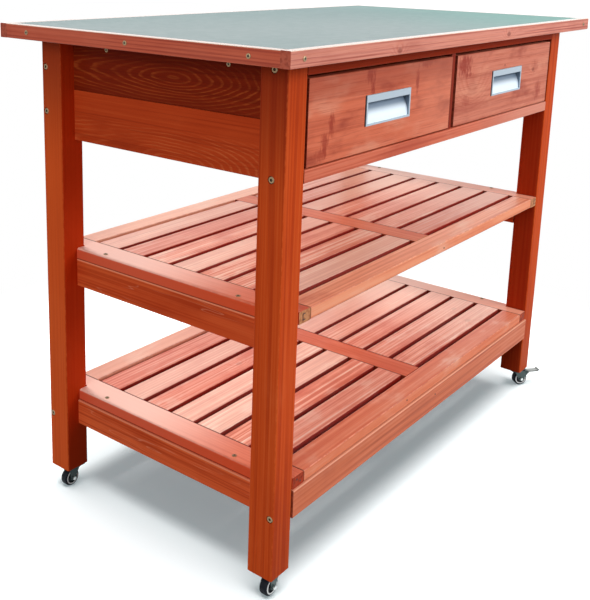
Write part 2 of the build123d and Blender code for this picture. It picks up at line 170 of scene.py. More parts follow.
def within(wire, name):
    return smooth(wire, *timberSpans[name])


# where a point lies along and across the grain, and which board of a group it is on
class Board:
    def __init__(self, start, spec):
        self.start = start
        self.spec = spec
        self.place = start.add("TexCoord", out=3)
        self.axes = dict(zip("xyz", split(self.place)))
        self.normal = dict(zip("XYZ", split(self.place.sibling(1))))
        self.facing = {axis: abs(part) for axis, part in self.normal.items()}
        order = {"X": "xyz", "Y": "yxz", "Z": "zxy"}[spec["grain"]]
        self.along, self.across, self.deep = [self.axes[axis] for axis in order]
        if spec["flip"]:
            self.across, self.deep = self.deep, self.across
        self.pickTimber()
        self.slow = self.grain("slow") - 0.5
        self.quick = self.grain("quick") - 0.5
        self.fibre = self.grain("fibre")
        self.streak = self.grain("streak", 1.0, spec["streakScale"])
        self.patch = self.grain("patch", spec["blotch"], spec["blotch"])

    # every board of a group gets its own piece of timber
    def pickTimber(self):
        index = self.start.add("Value")
        index.socket.default_value = self.spec["seed"]
        for axis, step, offset in self.spec["boards"]:
            count = self.start.maths("FLOOR", (self.axes[axis] + offset) / step)
            index = index * timberLot["spread"] + count
        hashed = self.start.add("TexWhiteNoise", {"noise_dimensions": "1D"}, {"W": index}, out=1)
        chance, self.paleChance, self.darkChance = split(hashed)
        self.run = self.along + chance * timberLot["shift"]

    def stretched(self, along, across):
        return point(self.run * along, self.across * across, self.deep * across)

    def grain(self, name, timesAlong=1.0, timesAcross=1.0):
        along, across, detail, roughness = timberNoise[name]
        return noise(self.stretched(along * timesAlong, across * timesAcross), 1.0, detail, roughness)


# the heart's place and the tones; a panel of two boards, one above the other, has a set for each
jointBlur = 0.0005


def boardCharacter(board):
    spec = board.spec
    heart = spec["pith"][0]
    tones = {key: spec[key] for key in ("early", "late", "stain", "pale")}
    if "lower" in spec:
        lower = spec["lower"]
        upper = smooth(board.axes["z"], spec["joint"] - jointBlur, spec["joint"] + jointBlur)
        heart = upper * (heart - lower["heart"]) + lower["heart"]
        tones = {key: mixColour(lower[key], tone, upper) for key, tone in tones.items()}
    return heart, tones


# distance from the heart line; where the heart comes near the face, the rings close into ovals
ovalShape = {"wander": 0.05, "lopsided": 1.4}


def ringRadius(board, heart):
    spec = board.spec
    leanAcross, leanDeep = spec["lean"]
    sideways = board.across - heart - board.along * leanAcross + board.slow * spec["wobble"]
    sideways = sideways + (board.paleChance - 0.5) * spec["spread"]
    upwards = board.deep - spec["pith"][1] - board.along * leanDeep
    upwards = upwards + (board.darkChance - 0.5) * spec["spread"]
    squares = sideways * sideways + upwards * upwards
    if "oval" in spec:
        spot, pull = spec["oval"]
        stretch = board.along - spot + board.slow * ovalShape["wander"]
        stretch = stretch * (1.0 - stretch * ovalShape["lopsided"]) * pull
        squares = squares + stretch * stretch
    return board.start.maths("SQRT", squares)


# knots push the rings aside, strengthen the figure round them and have a dark core
knotShape = {"long": 0.62, "ragged": 0.5, "reach": 3.2, "push": 2.0, "swirl": 0.5, "core": 0.35}
knotField = {"scales": (6.0, 9.0), "ragged": 0.05, "reach": 0.34, "push": 0.012, "core": (0.1, 0.035),
             "step": 0.01}


def addKnots(board, radius):
    start = board.start
    swirl = 0.0
    dark = 0.0
    for spot, offset, size, depth in board.spec["knots"]:
        gapAlong = (board.along - spot) * knotShape["long"]
        gapAcross = board.across - offset + board.quick * size * knotShape["ragged"]
        gap = distance(gapAlong, gapAcross)
        bulge = smooth(gap, size * knotShape["reach"], 0.0)
        radius = radius + bulge * size * knotShape["push"]
        swirl = bulge * knotShape["swirl"] + swirl
        dark = start.maths("MAXIMUM", smooth(gap, size, size * knotShape["core"]) * depth, dark)
    if "knotty" in board.spec:         # small knots strewn over the board, in the cells above this share
        share = board.spec["knotty"]
        cells = board.stretched(*knotField["scales"])
        cell = start.add("TexVoronoi", {"feature": "F1"}, {"Vector": cells, "Scale": 1.0})
        chosen = smooth(split(cell.sibling(1))[0], share, share + knotField["step"])
        gap = cell + board.quick * knotField["ragged"]
        radius = radius + smooth(gap, knotField["reach"], 0.0) * chosen * knotField["push"]
        dark = start.maths("MAXIMUM", smooth(gap, *knotField["core"]) * chosen, dark)
    return radius, swirl, dark


# late wood as lines in the rings; in a panel they come and go, break into dashes and leave a plain band
fadeBlur = 0.12
dashes = {"least": 0.3, "more": 0.7}


def lateWood(board, radius):
    saw = board.start.maths("FRACT", radius * board.spec["rings"] + board.quick * board.spec["jitter"])
    return smooth(saw, *board.spec["lines"]) * (1.0 - within(saw, "lateEnd"))


def ringFigure(board, late, contrast):
    spec = board.spec
    figure = late * contrast
    if "fade" in spec:
        middle, near, far = spec["plain"]
        figure = figure * smooth(board.patch, spec["fade"] + fadeBlur, spec["fade"] - fadeBlur)
        figure = figure * smooth(abs(board.axes["z"] - middle), near, far)
        figure = figure * (dashes["least"] + dashes["more"] * within(board.fibre, "dashes"))
    return figure


def stainLayers(board, tones):
    spec = board.spec
    # pale streaks and patches: bleached wood, and on the shelves painted highlight as well
    yield tones["stain"], within(board.streak, "streakDark") * spec["streaks"]
    yield tones["pale"], within(board.streak, "streakPale") * spec.get("combedAndHighlight", spec["bleachAndHighlight"])
    yield tones["stain"], within(board.patch, "patchDark") * spec["patches"]
    yield tones["pale"], within(board.patch, "patchPale") * spec["bleachAndHighlight"]
    yield tones["stain"], within(board.fibre, "pores") * spec["pores"]
    if "margins" in spec:              # stain gathers along the long edges of the slats
        step, offset, strength = spec["margins"]
        fromMiddle = abs(board.start.maths("FRACT", (board.axes["y"] + offset) / step) - 0.5)
        yield tones["stain"], within(fromMiddle, "margin") * within(board.patch, "marginPatch") * strength
    if spec["tone"]:                   # some boards of a group are paler or darker
        yield tones["pale"], within(board.paleChance, "paleBoard") * spec["tone"]
        yield tones["stain"], within(board.darkChance, "darkBoard") * spec["tone"]


# dark marks with feathered edges, the cores of knots, pale scratches in the varnish
markEdge = {"feather": 2.2, "wave": 0.8}


def markLayers(board, dark):
    spec = board.spec
    if spec["marks"]:
        ragged = (board.grain("feather") - 0.5) * markEdge["feather"] + board.quick * markEdge["wave"]
    for spot, offset, halfLong, halfWide, strength in spec["marks"]:
        gap = distance((board.along - spot) / halfLong, (board.across - offset) / halfWide) + ragged
        yield spec["mark"], within(gap, "mark") * strength
    if dark:
        yield spec["knot"], dark * timberStrength["knot"]
    if "scuffs" in spec:
        scratch = abs(board.grain("scratch") - 0.5)
        yield spec["chalk"], within(scratch, "scratch") * within(board.patch, "scuffed") * spec["scuffs"]


# tones that change along a board, tinted faces, bands of height and joint lines: on the shelves the tones
# along a board are painted light and shade, tinted faces are stain on some boards and painted shade or
# painted light on others, the height bands are painted shade, and a joint line is dark dirt, or a painted
# highlight where its tone is pale
def faceLayers(board):
    spec = board.spec
    for axis, low, high, tone, strength in spec["blend"]:
        yield tone, smooth(board.axes[axis], low, high) * strength
    for axis, sign, tone, strength in spec["sides"]:
        yield tone, within(board.normal[axis] * sign, "face") * strength
    for axis, low, high, strength in spec["dim"]:
        yield spec["shade"], smooth(board.axes["z"], low, high) * board.facing[axis] * strength
    for axis, spot in spec["seams"]:
        gap = abs(abs(board.axes[axis]) - spot)
        yield spec["seam"], within(gap, "seam") * timberStrength["seam"]


# darker end grain, which soaks up stain and also stands in for shade on end faces, then edges that are rubbed
# pale or chipped dark, and a painted highlight along upper rounded edges
edgeNoise = {"end": 170.0, "worn": 90.0}


def edgeLayers(board, ends):
    spec = board.spec
    endPores = within(noise(board.place, edgeNoise["end"], detail=3.0), "endDark")
    yield mixColour(spec["end"], spec["endDark"], endPores), ends * timberStrength["endGrain"]
    squarest = board.start.maths("MAXIMUM", board.facing["X"], board.facing["Y"])
    squarest = board.start.maths("MAXIMUM", squarest, board.facing["Z"])
    edges = within(squarest, "edge")
    worn = within(noise(board.place, edgeNoise["worn"], detail=4.0, roughness=0.6), "worn")
    yield spec["pale"], edges * worn * spec["rubbed"]
    yield spec["knot"], edges * (1.0 - worn) * spec["chipped"]
    # a painted highlight along the upper rounded edges
    if "topEdgeHighlight" in spec:
        yield spec["topEdgeHighlight"], edges * within(board.normal["Z"], "topEdgeHighlight") * timberStrength["topEdgeHighlight"]


# how far fibres, end grain, late wood and streaks roughen and raise the surface
woodRough = {"fibre": 0.16, "ends": 0.25, "late": 0.04}
woodHeight = {"fibre": 0.5, "late": 0.35, "streak": 0.3}
woodRelief = {"Strength": 0.22, "Distance": 0.0006}


def stainedWood(name, spec):
    material, start = newTree(name)
    board = Board(start, spec)
    heart, tones = boardCharacter(board)
    radius, swirl, dark = addKnots(board, ringRadius(board, heart))
    late = lateWood(board, radius)
    ends = within(board.facing[spec["grain"]], "endGrain")
    colour = mixColour(tones["early"], tones["late"], ringFigure(board, late, spec["contrast"] + swirl))
    colour = layered(colour, stainLayers(board, tones))
    colour = layered(colour, markLayers(board, dark))
    colour = layered(colour, faceLayers(board))
    colour = layered(colour, edgeLayers(board, ends))
    rough = spec["rough"] + (board.fibre - 0.5) * woodRough["fibre"]
    rough = rough + ends * woodRough["ends"] + late * woodRough["late"]
    height = board.fibre * woodHeight["fibre"] + late * woodHeight["late"]
    height = height + board.streak * woodHeight["streak"]
    bump = start.add("Bump", None, dict(woodRelief, Height=height))
    finishTree(start, {
        "Base Color": colour, "Roughness": rough, "Normal": bump, "IOR": 1.45,
        "Specular IOR Level": spec["gloss"], "Coat Roughness": spec["coatRough"],
        "Coat IOR": spec["coatIor"], "Coat Weight": within(board.normal["Z"], "varnish") * spec["coat"],
    })
    return material


def dress(material, *names):
    for name in names:
        slots = cadNodes[name].data.materials
        slots.clear()
        slots.append(material)


def stain(name, spec, *nodes):
    dress(stainedWood(name, spec), *nodes)


# what a board has unless its own entry says otherwise
plainBoard = {
    "flip": False, "boards": (), "pith": (0.05, 0.03), "lean": (0.01, -0.006), "spread": 0.0, "wobble": 0.012,
    "rings": 210.0, "jitter": 0.35, "lines": (0.3, 0.8), "contrast": 0.4, "streaks": 0.5,
    "streakScale": 200.0, "patches": 0.4, "blotch": 1.0, "bleachAndHighlight": 0.25, "pores": 0.2, "tone": 0.0,
    "rubbed": 0.22, "chipped": 0.12,
    "knots": (), "marks": (), "blend": (), "sides": (), "dim": (), "seams": (),
    "rough": 0.5, "gloss": 0.04, "coat": 0.0, "coatRough": 0.28, "coatIor": 1.45,
}
# tones shared by the stained boards
redStain = dict(
    plainBoard, early=tint(198, 73, 25), late=tint(213, 95, 42), stain=tint(156, 42, 12),
    pale=tint(220, 110, 58), knot=tint(84, 24, 12), shade=tint(104, 26, 14), end=tint(140, 58, 36),
    endDark=tint(104, 36, 22), seam=tint(70, 18, 10),
)
salmonStain = dict(
    redStain, early=tint(193, 99, 70), late=tint(178, 80, 52), stain=tint(142, 46, 27),
    pale=tint(222, 148, 120), knot=tint(112, 36, 22), gloss=0.18,
)
# the shelves' pale tone and strong bleach are partly painted highlight
shelfStain = dict(
    redStain, early=tint(246, 162, 134), late=tint(234, 136, 104), stain=tint(200, 80, 52),
    pale=tint(255, 228, 208), gloss=0.12, coat=0.75, coatRough=0.4, pores=0.3, tone=0.5, spread=0.06,
    bleachAndHighlight=0.75, streaks=0.45, patches=0.6, blotch=2.2, chipped=0.3, rubbed=0.12, rings=160.0,
)
twoEnds = (("x", 1.0, 1.0),)           # one board at the left, one at the right
frontAndBack = (("y", 1.0, 1.0),)


def bothSides(axis, tone, strength):
    return (axis, -1, tone, strength), (axis, 1, tone, strength)


# legs: the side of each corner, and leg faces with painted shade (the inner sides of the right legs, the back
# left leg's front) or painted light (the back left leg's outer side)
corners = {"front_left": (-1, -1), "front_right": (1, -1), "back_left": (-1, 1), "back_right": (1, 1)}
legSidesLitAndShaded = {
    "front_left": (),
    "front_right": (("X", -1, tint(150, 32, 12), 0.65),),
    "back_left": (("Y", -1, tint(184, 46, 8), 0.8), ("X", -1, tint(214, 88, 36), 0.6)),
    "back_right": (("X", -1, tint(150, 32, 12), 0.65),),
}
legHeart = {"outwards": 0.035, "inwards": 0.05}
# dim bands: painted shade at the tops of the legs under the worktop, on their sides and fronts; their fronts
# are also darker towards the bottom
legSpec = dict(redStain, grain="Z", lean=(0.008, 0.012), rings=190.0, contrast=0.3, patches=0.3,
               dim=(("X", 0.6, 0.86, 0.75), ("Y", 0.7, 0.87, 0.3), ("Y", 0.3, 0.05, 0.3)))
for seed, (corner, (sideX, sideY)) in enumerate(corners.items(), 3):
    low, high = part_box("leg_" + corner)
    middle = (low + high) / 2
    heart = (middle.x + sideX * legHeart["outwards"], middle.y - sideY * legHeart["inwards"])
    stain("legStain_" + corner, dict(legSpec, seed=seed, pith=heart, sides=legSidesLitAndShaded[corner]), "leg_" + corner)

# the end and back panels: a dark upper board with pale oval figure, a lighter board below it; the upper
# board's dark tones are partly painted shade under the worktop, and the dim band paints more shade along the
# top
panelLow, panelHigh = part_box("end_panel_left")
panelJoint = (panelLow.z + panelHigh.z) / 2
panelSpec = dict(
    redStain, grain="Y", flip=True, wobble=0.03, lean=(0.0, 0.0), joint=panelJoint, contrast=0.45,
    boards=(("z", 1.0, 1.0 - panelJoint),), lines=(0.5, 0.8), oval=(-0.02, 0.2), jitter=1.7, fade=0.56,
    patches=0.5, plain=(0.740, 0.012, 0.036), dim=(("X", 0.79, 0.86, 0.6),),
    early=tint(116, 31, 9), late=tint(190, 94, 42), stain=tint(92, 20, 7), pale=tint(148, 50, 18),
    lower={"heart": 0.672, "early": tint(178, 62, 25), "late": tint(216, 118, 68), "stain": tint(140, 40, 14),
           "pale": tint(200, 84, 40)})
stain("end_panel_left_stain", dict(panelSpec, pith=(0.802, -0.480), seed=10.0), "end_panel_left")
stain("end_panel_right_stain", dict(panelSpec, pith=(0.802, 0.480), seed=12.0), "end_panel_right")
backPanelSpec = dict(panelSpec, grain="X", pith=(0.79, 0.226), seed=17.0, oval=(0.13, 0.11))
stain("backPanelStain", backPanelSpec, "back_panel")

# rails above and below the drawers, and the divider between them
railSpec = dict(redStain, grain="X", flip=True, rings=230.0, pith=(0.6, -0.2))
bottomRailSpec = dict(railSpec, early=tint(208, 106, 76), late=tint(196, 88, 58), pale=tint(224, 150, 124),
                      seed=21.0, gloss=0.25, blend=(("x", 0.0, 0.45, tint(214, 152, 134), 0.5),))
stain("bottomRailStain", bottomRailSpec, "drawer_bottom_rail")
# the top rail's darker tones are partly painted shade under the worktop
topRailSpec = dict(railSpec, early=tint(148, 50, 26), late=tint(136, 42, 20), pale=tint(160, 72, 50),
                   seed=22.0, gloss=0.02)
stain("topRailShadedStain", topRailSpec, "drawer_top_rail")
dividerSpec = dict(redStain, grain="Z", seed=23.0, early=tint(126, 52, 42), late=tint(116, 44, 34))
stain("dividerStain", dividerSpec, "drawer_divider")

# drawer fronts; each mark: place along the board, height, half length, half height, strength
# and each knot: place along the board, height, size, darkness
drawerSpec = dict(salmonStain, grain="X", flip=True, rings=110.0, contrast=0.22, wobble=0.03, patches=0.9,
                  bleachAndHighlight=0.65, combedAndHighlight=0.15, blotch=1.5, streaks=0.35, streakScale=140.0, pores=0.55,
                  pith=(0.62, -0.14), mark=tint(142, 36, 16))
leftDrawerSpec = dict(
    drawerSpec, lean=(0.01, 0.0), seed=31.0, early=tint(210, 108, 76), late=tint(192, 86, 54),
    blend=(("x", -0.2, -0.06, tint(220, 140, 114), 0.3), ("z", 0.775, 0.805, tint(140, 56, 38), 0.5)),
    marks=((-0.290, 0.812, 0.016, 0.016, 0.8), (-0.283, 0.796, 0.009, 0.022, 0.85),
           (-0.138, 0.786, 0.007, 0.032, 0.85), (-0.100, 0.820, 0.055, 0.010, 0.85),
           (-0.398, 0.745, 0.009, 0.024, 0.75), (-0.414, 0.722, 0.014, 0.020, 0.7),
           (-0.424, 0.706, 0.020, 0.012, 0.55)))
stain("leftDrawerStain", leftDrawerSpec, "left_drawer_front")
rightDrawerSpec = dict(
    drawerSpec, lean=(-0.01, 0.0), seed=37.0, early=tint(204, 120, 96), late=tint(190, 100, 76),
    knots=((0.082, 0.757, 0.019, 0.2), (0.375, 0.769, 0.006, 0.7), (0.225, 0.789, 0.003, 0.8)),
    marks=((0.044, 0.801, 0.034, 0.024, 0.85), (0.064, 0.783, 0.016, 0.004, 0.6),
           (0.409, 0.721, 0.022, 0.020, 0.6), (0.385, 0.772, 0.020, 0.016, 0.35),
           (0.055, 0.735, 0.020, 0.012, 0.35)))
stain("rightDrawerStain", rightDrawerSpec, "right_drawer_front")

# strips round the worktop, glossy on top, their top faces and upper edges painted paler as a highlight
stripSpec = dict(
    salmonStain, flip=True, early=tint(215, 139, 121), late=tint(204, 118, 98), stain=tint(146, 56, 42),
    rings=200.0, coat=1.0, coatRough=0.1, coatIor=1.7, streakScale=300.0, streaks=0.8, pores=0.5,
    topEdgeHighlight=tint(255, 238, 214), sides=(("Z", 1, tint(255, 230, 200), 0.4),), end=tint(176, 84, 62),
    endDark=tint(146, 62, 44))
frontStripSpec = dict(stripSpec, grain="X", seed=41.0, pith=(0.78, -0.2),
                      knots=((0.130, 0.858, 0.007, 0.8), (-0.281, 0.853, 0.006, 0.7)))
stain("frontStripStain", frontStripSpec, "top_strip_front")
backStripSpec = dict(stripSpec, grain="X", seed=42.0, pith=(0.78, 0.2), knotty=0.8)
stain("backStripStain", backStripSpec, "top_strip_back")
endStripSpec = dict(stripSpec, grain="Y", seed=43.0, pith=(0.78, 0.1), boards=twoEnds,
                    early=tint(194, 92, 66), late=tint(180, 76, 52), pale=tint(206, 116, 90))
stain("endStripStain", endStripSpec, "top_strip_left", "top_strip_right")

# both shelves: what differs between them, then their slats, boards, crosspieces and rails
shelves = {
    "upper": {"seed": 51.0, "end": tint(196, 140, 98), "endDark": tint(160, 100, 66), "shaded": 0.35,
              "edge": tint(255, 174, 136), "cross": tint(216, 122, 86), "rail": tint(204, 82, 40), "knots": (
                  (-0.314, 0.148, 0.008, 0.35), (0.246, 0.110, 0.009, 0.35), (0.280, -0.167, 0.009, 0.35))},
    "lower": {"seed": 61.0, "end": tint(166, 58, 34), "endDark": tint(120, 36, 20), "shaded": 0.12,
              "edge": tint(226, 130, 96), "cross": tint(208, 100, 66), "rail": tint(216, 94, 50), "knots": (
                  (0.321, -0.185, 0.009, 0.35), (0.364, -0.130, 0.008, 0.35), (-0.200, 0.060, 0.007, 0.3))},
}
# wall: a dark tone painted on the slats' side faces in the gaps, as shade
slatRow = {"count": 7, "width": 0.051, "margin": 0.7, "wall": tint(130, 16, 8), "wallDepth": 0.95}
shelfHeart = {"boards": 0.06, "rails": 0.1}            # depth of the heart below the shelf's top
brightLine = 0.0013                    # painted highlight line just below the upper edge of a rail
# a pale tone painted on the shelves as a highlight, at the right end of the slats and on the back edge board
paleHighlight = tint(255, 214, 192)
for shelf, look in shelves.items():
    low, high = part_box(shelf + "_slats")
    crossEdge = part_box(shelf + "_crosspiece")[1].x
    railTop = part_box(shelf + "_end_rails")[1].z
    pitch = (high.y - low.y - slatRow["width"]) / (slatRow["count"] - 1)
    offset = (pitch - slatRow["width"]) / 2 - low.y
    levelSpec = dict(shelfStain, pith=(0.0, high.z - shelfHeart["boards"]), end=look["end"],
                     endDark=look["endDark"], seams=(("x", high.x), ("z", low.z)))
    # the slats are painted darker from the middle rightwards as shade, by each shelf's shaded share, and
    # paler at the right end as a highlight
    slatSpec = dict(
        levelSpec, grain="X", seed=look["seed"], boards=(("y", pitch, offset), *twoEnds), knots=look["knots"],
        margins=(pitch, offset, slatRow["margin"]), seams=(("x", high.x), ("x", crossEdge)), coatIor=1.6,
        sides=bothSides("Y", slatRow["wall"], slatRow["wallDepth"]), early=tint(248, 172, 146), bleachAndHighlight=0.6,
        combedAndHighlight=0.95, streakScale=260.0, streaks=0.75, pores=0.6, contrast=0.6,
        blend=(("x", -0.4, -0.1, tint(200, 120, 90), look["shaded"]), ("x", 0.12, 0.42, paleHighlight, 0.5)))
    stain(shelf + "SlatStain", slatSpec, shelf + "_slats")
    # the back edge board is painted paler as a highlight
    edgeSpec = dict(
        levelSpec, grain="X", seed=look["seed"] + 1, boards=frontAndBack, streakScale=150.0, tone=0.2,
        blotch=1.4, combedAndHighlight=0.15, bleachAndHighlight=0.5, early=look["edge"],
        sides=(("Y", -1, tint(218, 122, 82), 0.45),), blend=(("y", -0.05, 0.05, paleHighlight, 0.4),))
    stain(shelf + "EdgeStain", edgeSpec, shelf + "_edge_boards")
    # the right end board and the back of both end boards are painted paler as a highlight
    endSpec = dict(
        levelSpec, grain="Y", seed=look["seed"] + 2, boards=twoEnds, early=tint(222, 114, 82), tone=0.12,
        late=tint(206, 88, 56), pale=tint(240, 156, 128), bleachAndHighlight=0.25, coat=0.7, chipped=0.12, rubbed=0.08,
        sides=bothSides("X", tint(208, 74, 36), 0.95),
        blend=(("x", 0.2, 0.46, tint(250, 186, 156), 0.6), ("y", -0.2, 0.1, tint(255, 218, 202), 0.75)))
    stain(shelf + "EndStain", endSpec, shelf + "_end_boards")
    crossSpec = dict(endSpec, seed=look["seed"] + 4, early=look["cross"], late=tint(190, 78, 46), tone=0.0,
                     coat=0.5, blend=(), seams=(("x", crossEdge),))
    stain(shelf + "CrossStain", crossSpec, shelf + "_crosspiece")
    # the end rails' pale seam tone paints a highlight along their top edge
    endRailSpec = dict(
        redStain, grain="Y", flip=True, seed=look["seed"] + 3, pith=(high.z - shelfHeart["rails"], 0.2),
        boards=twoEnds, early=look["rail"], late=tint(190, 64, 26), seam=tint(236, 150, 116),
        seams=(("z", railTop - brightLine),), scuffs=0.3, chalk=tint(226, 150, 118))
    stain(shelf + "EndRailStain", endRailSpec, shelf + "_end_rails")
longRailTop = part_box("lower_front_rail")[1].z
# the long rails' pale seam tone paints a highlight along their top edge
longRailSpec = dict(
    salmonStain, grain="X", flip=True, seed=71.0, pith=(0.1, -0.2), boards=frontAndBack, rings=170.0,
    early=tint(204, 108, 70), late=tint(190, 86, 50), streakScale=150.0, seam=tint(246, 178, 148),
    seams=(("z", longRailTop - brightLine),))
stain("lowRailStain", longRailSpec, "lower_front_rail", "lower_back_rail")

# the drawer boxes and the board under the sheet are plain softwood, the hidden framing is stained
pineSpec = dict(redStain, early=tint(222, 182, 132), late=tint(196, 146, 92), stain=tint(176, 120, 74),
                pale=tint(234, 204, 164), end=tint(206, 164, 116), endDark=tint(168, 122, 80), rough=0.6,
                gloss=0.3, spread=0.05)
stain("boxPine", dict(pineSpec, grain="Y", seed=81.0, boards=(("x", 0.1, 1.0),)),
      "left_drawer_sides", "right_drawer_sides")
stain("boxPineAcross", dict(pineSpec, grain="X", seed=83.0, boards=twoEnds),
      "left_drawer_back", "right_drawer_back", "left_drawer_bottom", "right_drawer_bottom")
stain("runnerStain", dict(redStain, grain="Y", seed=85.0, boards=(("x", 0.3, 1.05),), rough=0.55),
      "drawer_runners", "top_cleats", "upper_bearers", "lower_bearers")
stain("boardPine", dict(pineSpec, grain="X", seed=87.0), "top_panel")
print("timber dressed")

# dull galvanised sheet with a faint spangle and a cooler tone towards one end
sheetLook = {
    "grey": tint(172, 185, 185), "far": tint(148, 169, 169), "teal": tint(140, 188, 180), "depth": 0.85,
    "farSlope": 0.6, "farSpan": (-0.35, 0.45), "tealSlope": 0.9, "tealSpan": (0.0, 0.75),
    "cloudScale": 3.0, "cloudSpan": (0.5, 0.75), "cloud": 0.25, "spangleScale": 70.0, "spangle": 0.12,
    "scratches": (6.0, 260.0), "rough": 0.62, "flakeRough": 0.12, "scratchRough": 0.1,
    "relief": {"Strength": 0.06, "Distance": 0.0004}, "metallic": 0.1, "gloss": 0.05,
}


def galvanised(name, look):
    material, start = newTree(name)
    place = start.add("TexCoord", out=3)
    x, y = split(place)[:2]
    cells = {"Vector": place, "Scale": look["spangleScale"]}
    flake = split(start.add("TexVoronoi", {"feature": "F1"}, cells, out=1))[0]
    cloud = noise(place, look["cloudScale"], detail=4.0)
    scratch = noise(point(x * look["scratches"][0], y * look["scratches"][1], 0.0))
    colour = layered(look["grey"], (
        (look["far"], smooth(x * look["farSlope"] + y, *look["farSpan"]) * look["depth"]),
        (look["teal"], smooth(x - y * look["tealSlope"], *look["tealSpan"]) * look["depth"]),
        (look["far"], smooth(cloud, *look["cloudSpan"]) * look["cloud"]),
        (look["far"], flake * look["spangle"])))
    rough = look["rough"] + (flake - 0.5) * look["flakeRough"] + (scratch - 0.5) * look["scratchRough"]
    bump = start.add("Bump", None, dict(look["relief"], Height=flake * 0.5 + scratch * 0.5))
    finishTree(start, {"Base Color": colour, "Roughness": rough, "Normal": bump, "Metallic": look["metallic"],
                       "Specular IOR Level": look["gloss"]})
    return material


dress(galvanised("galvanisedSheet", sheetLook), "top_sheet")

# plain metals, plastics and rubber: brushed or speckled by fine noise, with clouds of a darker tone
speckle = {"dark": 0.55, "fineSpan": (0.4, 0.75), "cloudScale": 40.0, "cloudSpan": (0.5, 0.8),
           "fineRough": 0.2, "cloudRough": 0.1, "reliefDepth": 0.0003}


def finish(name, base, rough, metallic=0.0, grainScale=600.0, contrast=0.3, stretch=(1.0, 1.0, 1.0),
           relief=0.08, gloss=0.5, layers=None):
    material, start = newTree(name)
    place = start.add("TexCoord", out=3)
    stretched = start.add("Mapping", None, {"Vector": place, "Scale": stretch})
    fine = noise(stretched, grainScale, detail=3.0)
    cloud = noise(place, speckle["cloudScale"], detail=3.0)
    darker = tuple(c * speckle["dark"] for c in base[:3]) + (1.0,)
    specks = smooth(fine, *speckle["fineSpan"]) * contrast + smooth(cloud, *speckle["cloudSpan"]) * contrast
    colour = mixColour(base, darker, specks)
    if layers:
        colour = layered(colour, layers(place))
    roughness = rough + (fine - 0.5) * speckle["fineRough"] + (cloud - 0.5) * speckle["cloudRough"]
    relieved = {"Strength": relief, "Distance": speckle["reliefDepth"], "Height": fine}
    bump = start.add("Bump", None, relieved)
    finishTree(start, {"Base Color": colour, "Roughness": roughness, "Metallic": metallic, "Normal": bump,
                       "Specular IOR Level": gloss})
    return material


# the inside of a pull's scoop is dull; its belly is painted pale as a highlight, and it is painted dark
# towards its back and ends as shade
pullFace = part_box("left_drawer_pull")[0].y
scoop = {"rim": (pullFace + 0.0003, pullFace + 0.0013), "depth": (pullFace + 0.0028, pullFace + 0.0083),
         "ends": (0.6, 0.9), "bellyHighlight": tint(232, 245, 255), "tone": tint(70, 92, 116), "strength": 0.9}


def scoopShadeAndHighlight(place):
    depth = split(place)[1]
    endWall = abs(split(place.sibling(1))[0])
    inside = smooth(depth, *scoop["rim"])
    yield scoop["bellyHighlight"], inside
    recessShade = place.maths("MAXIMUM", smooth(depth, *scoop["depth"]), smooth(endWall, *scoop["ends"]) * inside)
    yield scoop["tone"], recessShade * scoop["strength"]


satinPull = finish("satinPull", tint(176, 192, 205), 0.42, 0.3, 900.0, 0.06, stretch=(0.05, 1.0, 1.0),
                   layers=scoopShadeAndHighlight)
dress(satinPull, "left_drawer_pull", "right_drawer_pull")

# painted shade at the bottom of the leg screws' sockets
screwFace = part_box("leg_screws")[1].x
sunkSocketShade = {"depth": (screwFace - 0.0004, screwFace - 0.0012), "tone": tint(44, 34, 26), "strength": 0.9}


def sunkShadeLayers(place):
    yield sunkSocketShade["tone"], smooth(abs(split(place)[0]), *sunkSocketShade["depth"]) * sunkSocketShade["strength"]


zincTone = tint(158, 134, 100)
yellowZinc = finish("yellowZinc", zincTone, 0.42, 0.5)
dress(finish("yellowZincSunk", zincTone, 0.42, 0.5, layers=sunkShadeLayers), "leg_screws")
dullZinc = finish("dullZinc", tint(72, 84, 84), 0.42, 0.4, 500.0, 0.35, gloss=0.3)
dress(dullZinc, "caster_plates", *["fork_" + corner for corner in corners])
blackRubber = finish("blackRubber", tint(14, 18, 26), 0.5, grainScale=700.0, relief=0.2, gloss=0.1)
dress(blackRubber, *["tyre_" + corner for corner in corners])
blackPlastic = finish("blackPlastic", tint(26, 29, 34), 0.4, grainScale=900.0, contrast=0.2, gloss=0.2)
dress(blackPlastic, *["hub_" + corner for corner in corners])

# the brake levers' upward faces are painted paler as a highlight
leverHighlight = {"tone": tint(176, 184, 182), "upward": (0.3, 0.8), "strength": 0.9}


def leverHighlightLayers(place):
    yield leverHighlight["tone"], smooth(split(place.sibling(1))[2], *leverHighlight["upward"]) * leverHighlight["strength"]


leverPlastic = finish("leverPlastic", tint(46, 52, 52), 0.45, grainScale=900.0, contrast=0.25, gloss=0.3,
                      layers=leverHighlightLayers)
dress(leverPlastic, "brake_lever_front_right", "brake_lever_back_right")
# dark tone for the plugs that stand in for the shade in the small screws' sockets
shadePlug = finish("shadePlug", tint(40, 34, 28), 0.6, 0.3)
ironNail = finish("ironNail", tint(66, 44, 38), 0.55, 0.4)
brightZinc = finish("brightZinc", tint(214, 218, 218), 0.25, 0.9, 500.0, 0.12)
whiteRing = finish("whiteRing", tint(222, 224, 224), 0.4, grainScale=700.0, contrast=0.1)
print("metals, rubber and plastics dressed")


def newPiece(name, mesh, material, body):
    data = bpy.data.meshes.new(name)
    mesh.to_mesh(data)
    mesh.free()
    data.materials.append(material)
    piece = bpy.data.objects.new(name, data)
    scene.collection.objects.link(piece)
    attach(piece, body)


# turns local +Z to face the given way and moves the origin to a place
def standing(place, facing):
    return Matrix.Translation(place) @ Vector(facing).to_track_quat("Z", "Y").to_matrix().to_4x4()


